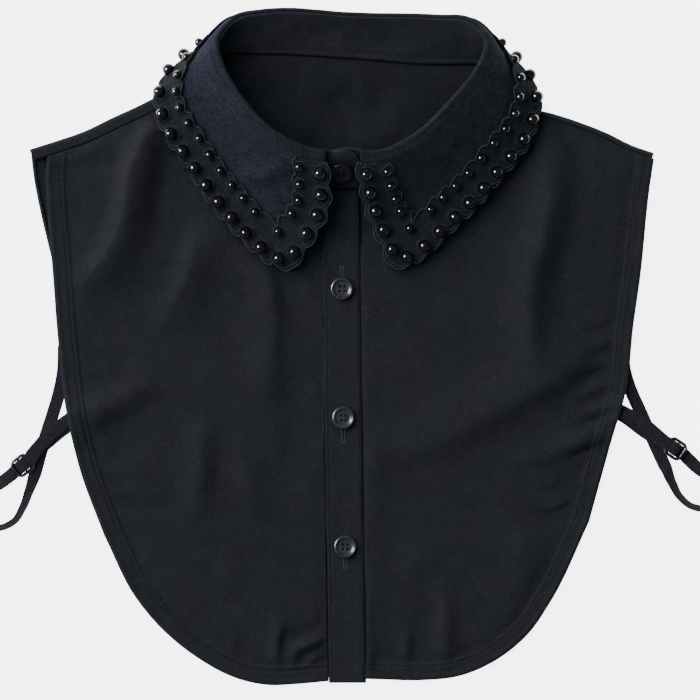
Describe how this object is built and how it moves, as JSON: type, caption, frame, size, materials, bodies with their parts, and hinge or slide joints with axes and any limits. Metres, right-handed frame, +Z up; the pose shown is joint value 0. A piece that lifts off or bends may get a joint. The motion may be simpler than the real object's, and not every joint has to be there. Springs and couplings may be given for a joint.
{
  "type": "detachable shirt collar",
  "caption": "False shirt front laid flat: a pointed collar with beaded scalloped trim, buttoned front panels, a back panel and elastic side straps.",
  "frame": {"origin": "middle of the bounding box's underside, on the surface that the collar lies on", "axes": "+Z up from the surface, +Y from the hem towards the back of the neck, +X towards the panel that is on the right as the front is looked at"},
  "size_m": [0.3874, 0.3405, 0.0279],
  "materials": {
    "black_crepe": "fine matt black crepe",
    "collar_satin": "interfaced crepe with a soft sheen",
    "embroidered_trim": "embroidered trim with sewn beads",
    "button_plastic": "polished black",
    "elastic": "ribbed narrow elastic",
    "slide_metal": "dark plated metal"
  },
  "bodies": {
    "root": {"back_panel": "black_crepe", "front_left": "black_crepe", "front_right": "black_crepe", "placket": "black_crepe", "collar_stand": "collar_satin", "collar_fall": "collar_satin", "trim_left": "embroidered_trim", "trim_right": "embroidered_trim", "trim_back": "embroidered_trim", "button_1": "button_plastic", "button_2": "button_plastic", "button_3": "button_plastic", "button_stand": "button_plastic", "strap_loop_left": "elastic", "strap_loop_right": "elastic", "strap_tab_lower_left": "elastic", "strap_tab_upper_left": "elastic", "strap_tab_lower_right": "elastic", "strap_tab_upper_right": "elastic", "slide_left": "slide_metal", "slide_right": "slide_metal"}
  },
  "joints": []
}
